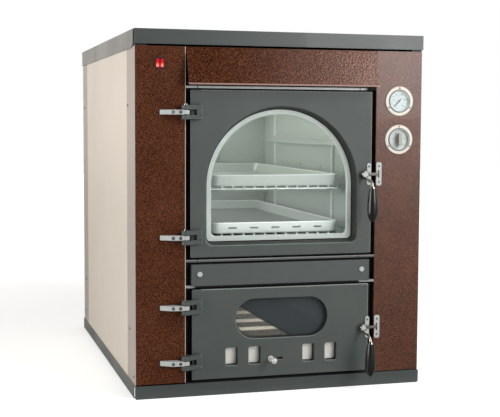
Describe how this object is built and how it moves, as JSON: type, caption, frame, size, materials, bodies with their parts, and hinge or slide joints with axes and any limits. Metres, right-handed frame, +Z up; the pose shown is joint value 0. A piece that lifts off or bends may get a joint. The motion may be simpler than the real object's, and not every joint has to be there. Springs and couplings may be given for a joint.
{
  "type": "wood-fired oven",
  "caption": "Sheet-steel cabinet oven with an arched glass door on a stainless baking chamber, and a firebox door with a sliding air control below it.",
  "frame": {"origin": "centre of the footprint, on the underside of the base", "axes": "+X to the right along the front, +Y from the doors to the back, +Z up"},
  "size_m": [0.79, 1.1273, 1.008],
  "materials": {
    "hammertone_brown": "hammertone",
    "dark_grey_paint": "satin paint",
    "cream_paint": "satin paint",
    "pale_grey_paint": "satin paint",
    "zinc_sheet": "galvanised",
    "cover_paint": "rough paint",
    "door_iron": "rough cast, painted",
    "ring_enamel": "enamel",
    "stainless": "bright stainless",
    "firebox_steel": "dull black",
    "liner_steel": "dull",
    "bright_steel": "bright zinc",
    "grip_finish": "dark gloss",
    "gauge_cream": "pale metal",
    "dial_face": "white face",
    "needle_black": "matt",
    "timer_knob_plastic": "gloss",
    "clear_glass": "clear",
    "switch_black": "matt",
    "switch_red": "translucent red",
    "rope_gasket": "glass-fibre rope",
    "wool": "mineral wool",
    "firebrick": "rough ceramic",
    "fan_steel": "dull"
  },
  "bodies": {
    "cabinet": {"base_frame": "dark_grey_paint", "front_posts": "pale_grey_paint", "rear_posts": "pale_grey_paint", "left_side_panel": "cream_paint", "right_side_panel": "cream_paint", "rear_panel": "zinc_sheet", "top_cover": "dark_grey_paint", "left_stile": "hammertone_brown", "right_stile": "hammertone_brown", "header_hood": "hammertone_brown", "front_frame": "zinc_sheet", "middle_cover": "cover_paint", "middle_cover_bolts": "bright_steel", "oven_chamber": "stainless", "smoke_jacket": "firebox_steel", "insulation_jacket": "wool", "firebrick_lining": "firebrick", "fire_grate": "firebox_steel", "log_guard": "firebox_steel", "rack_guides": "stainless", "wire_racks": "stainless", "oven_lamp": "clear_glass", "fan_guard": "stainless", "fan_motor": "fan_steel", "gauge_flanges": "gauge_cream", "thermometer_dial": "dial_face", "thermometer_glass": "clear_glass", "timer_dial": "dial_face", "switch_bezel": "switch_black", "hinge_arms": "bright_steel", "hinge_arm_screws": "bright_steel", "hinge_pins": "bright_steel", "latch_keepers": "bright_steel", "flue_collar": "zinc_sheet", "cable_gland": "switch_black"},
    "oven_door_leaf": {"oven_door": "door_iron", "oven_window_ring": "ring_enamel", "oven_window_glass": "clear_glass", "oven_glass_retainer": "liner_steel", "oven_door_gasket": "rope_gasket", "oven_latch_plate": "bright_steel"},
    "oven_latch": {"oven_latch_lever": "bright_steel", "oven_latch_grip": "grip_finish"},
    "firebox_door_leaf": {"firebox_door": "door_iron", "firebox_window_glass": "clear_glass", "firebox_door_liner": "liner_steel", "firebox_door_gasket": "rope_gasket", "firebox_latch_plate": "bright_steel"},
    "firebox_latch": {"firebox_latch_lever": "bright_steel", "firebox_latch_grip": "grip_finish"},
    "shutter": {"air_shutter": "liner_steel", "shutter_knob": "bright_steel"},
    "needle": {"thermometer_needle": "needle_black"},
    "timer": {"timer_knob": "timer_knob_plastic"},
    "left_key": {"switch_key_left": "switch_red"},
    "right_key": {"switch_key_right": "switch_red"},
    "fan": {"fan_wheel": "fan_steel"},
    "upper_tray": {"tray_upper": "stainless"},
    "lower_tray": {"tray_lower": "stainless"},
    "ash_drawer": {"ash_pan": "firebox_steel"}
  },
  "joints": [
    {"name": "oven_door_hinge", "type": "hinge", "parent": "cabinet", "child": "oven_door_leaf", "pos_m": [-0.2653, -0.5365, 0.581], "axis": [0, 0, -1], "range_deg": [0, 110]},
    {"name": "oven_latch_turn", "type": "hinge", "parent": "oven_door_leaf", "child": "oven_latch", "pos_m": [0.2272, -0.5303, 0.5777], "axis": [0, -1, 0], "range_deg": [0, 85]},
    {"name": "firebox_door_hinge", "type": "hinge", "parent": "cabinet", "child": "firebox_door_leaf", "pos_m": [-0.2653, -0.5365, 0.1615], "axis": [0, 0, -1], "range_deg": [0, 110]},
    {"name": "firebox_latch_turn", "type": "hinge", "parent": "firebox_door_leaf", "child": "firebox_latch", "pos_m": [0.2272, -0.5303, 0.1618], "axis": [0, -1, 0], "range_deg": [0, 85]},
    {"name": "shutter_slide", "type": "slide", "parent": "firebox_door_leaf", "child": "shutter", "axis": [1, 0, 0], "range_m": [0, 0.03]},
    {"name": "needle_turn", "type": "hinge", "parent": "cabinet", "child": "needle", "pos_m": [0.3272, -0.5203, 0.7737], "axis": [0, 1, 0], "range_deg": [0, 270]},
    {"name": "timer_turn", "type": "hinge", "parent": "cabinet", "child": "timer", "pos_m": [0.3272, -0.5245, 0.6704], "axis": [0, 1, 0], "range_deg": [0, 300]},
    {"name": "left_key_rock", "type": "hinge", "parent": "cabinet", "child": "left_key", "pos_m": [-0.3337, -0.519, 0.864], "axis": [-1, 0, 0], "range_deg": [0, 14]},
    {"name": "right_key_rock", "type": "hinge", "parent": "cabinet", "child": "right_key", "pos_m": [-0.3243, -0.519, 0.864], "axis": [-1, 0, 0], "range_deg": [0, 14]},
    {"name": "fan_spin", "type": "hinge", "parent": "cabinet", "child": "fan", "pos_m": [-0.044, 0.3675, 0.594], "axis": [0, 1, 0], "continuous": true},
    {"name": "upper_tray_slide", "type": "slide", "parent": "cabinet", "child": "upper_tray", "axis": [0, -1, 0], "range_m": [0, 0.015]},
    {"name": "lower_tray_slide", "type": "slide", "parent": "cabinet", "child": "lower_tray", "axis": [0, -1, 0], "range_m": [0, 0.015]},
    {"name": "ash_pan_slide", "type": "slide", "parent": "cabinet", "child": "ash_drawer", "axis": [0, -1, 0], "range_m": [0, 0.01]}
  ]
}
